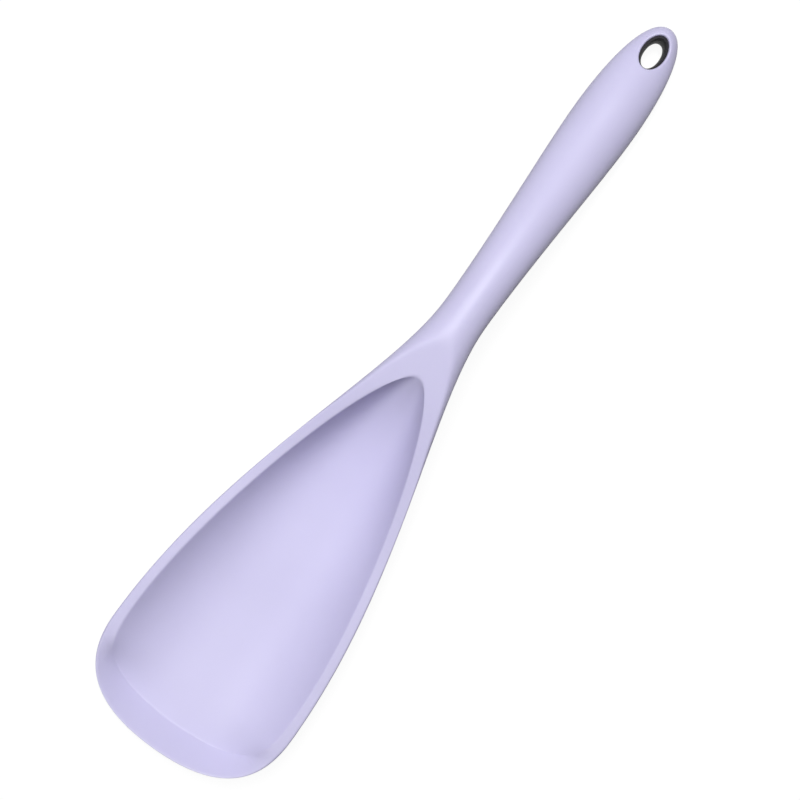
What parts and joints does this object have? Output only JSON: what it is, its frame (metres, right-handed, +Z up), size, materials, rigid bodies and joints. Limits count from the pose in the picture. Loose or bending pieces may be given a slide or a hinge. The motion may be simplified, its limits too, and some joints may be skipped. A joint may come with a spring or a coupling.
{
  "type": "duckbill spatula",
  "caption": "Silicone duckbill spatula: broad dished blade with raised rim and turned-up lip, slim neck, swelling handle with an oval hanging hole.",
  "frame": {"origin": "centre of the bounding box in plan, on the table the spatula lies on", "axes": "+X along the length from the lip to the handle's tail, +Y across the blade, +Z up out of the bowl"},
  "size_m": [0.29, 0.0706, 0.03],
  "materials": {
    "silicone": "satin lavender silicone",
    "nylon": "dark glass-filled nylon",
    "steel": "plain rolled stainless strip"
  },
  "bodies": {
    "root": {"silicone_skin": "silicone", "nylon_core": "nylon", "steel_spine": "steel"}
  },
  "joints": []
}
